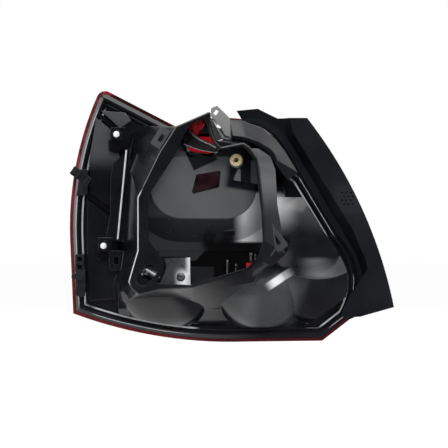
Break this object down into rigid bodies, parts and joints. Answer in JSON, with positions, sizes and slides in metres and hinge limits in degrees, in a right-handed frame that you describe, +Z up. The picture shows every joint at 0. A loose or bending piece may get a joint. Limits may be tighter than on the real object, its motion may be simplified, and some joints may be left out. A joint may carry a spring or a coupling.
{
  "type": "tail light cluster",
  "caption": "Rear lamp cluster for a hatchback: black moulded housing with an open bulb pocket, domed chambers, side fin, reflectors, bezel and a crowned red lens.",
  "frame": {"origin": "centre of the brass insert's mouth in the bulb pocket", "axes": "+X to the right and +Z up as seen from behind, +Y out through the lens"},
  "size_m": [0.3315, 0.135, 0.258],
  "materials": {
    "housing_plastic": "semi-gloss moulded black",
    "fin_plastic": "satin grained black",
    "red_acrylic": "clear red, polished",
    "clear_acrylic": "clear, polished",
    "sealant": "cured dark bead",
    "reflector_plastic": "black back, bright metallised front",
    "reflector_chrome": "bright metallised",
    "bezel_plastic": "black",
    "insert_brass": "turned",
    "peg_plastic": "natural white",
    "screw_steel": "zinc plated",
    "clip_plastic": "satin black"
  },
  "bodies": {
    "root": {"housing": "housing_plastic", "side_fin": "fin_plastic", "red_lens": "red_acrylic", "clear_lens_window": "clear_acrylic", "lens_sealant": "sealant", "main_reflector": "reflector_plastic", "turn_reflector": "reflector_chrome", "reverse_reflector": "reflector_chrome", "side_reflector": "reflector_chrome", "inner_bezel": "bezel_plastic", "main_trim_ring": "reflector_chrome", "reflex_reflector": "red_acrylic", "threaded_insert": "insert_brass", "upper_locating_peg": "peg_plastic", "lower_locating_peg": "peg_plastic", "reflector_screw": "screw_steel", "upper_edge_clip": "clip_plastic", "lower_edge_clip": "clip_plastic"}
  },
  "joints": []
}
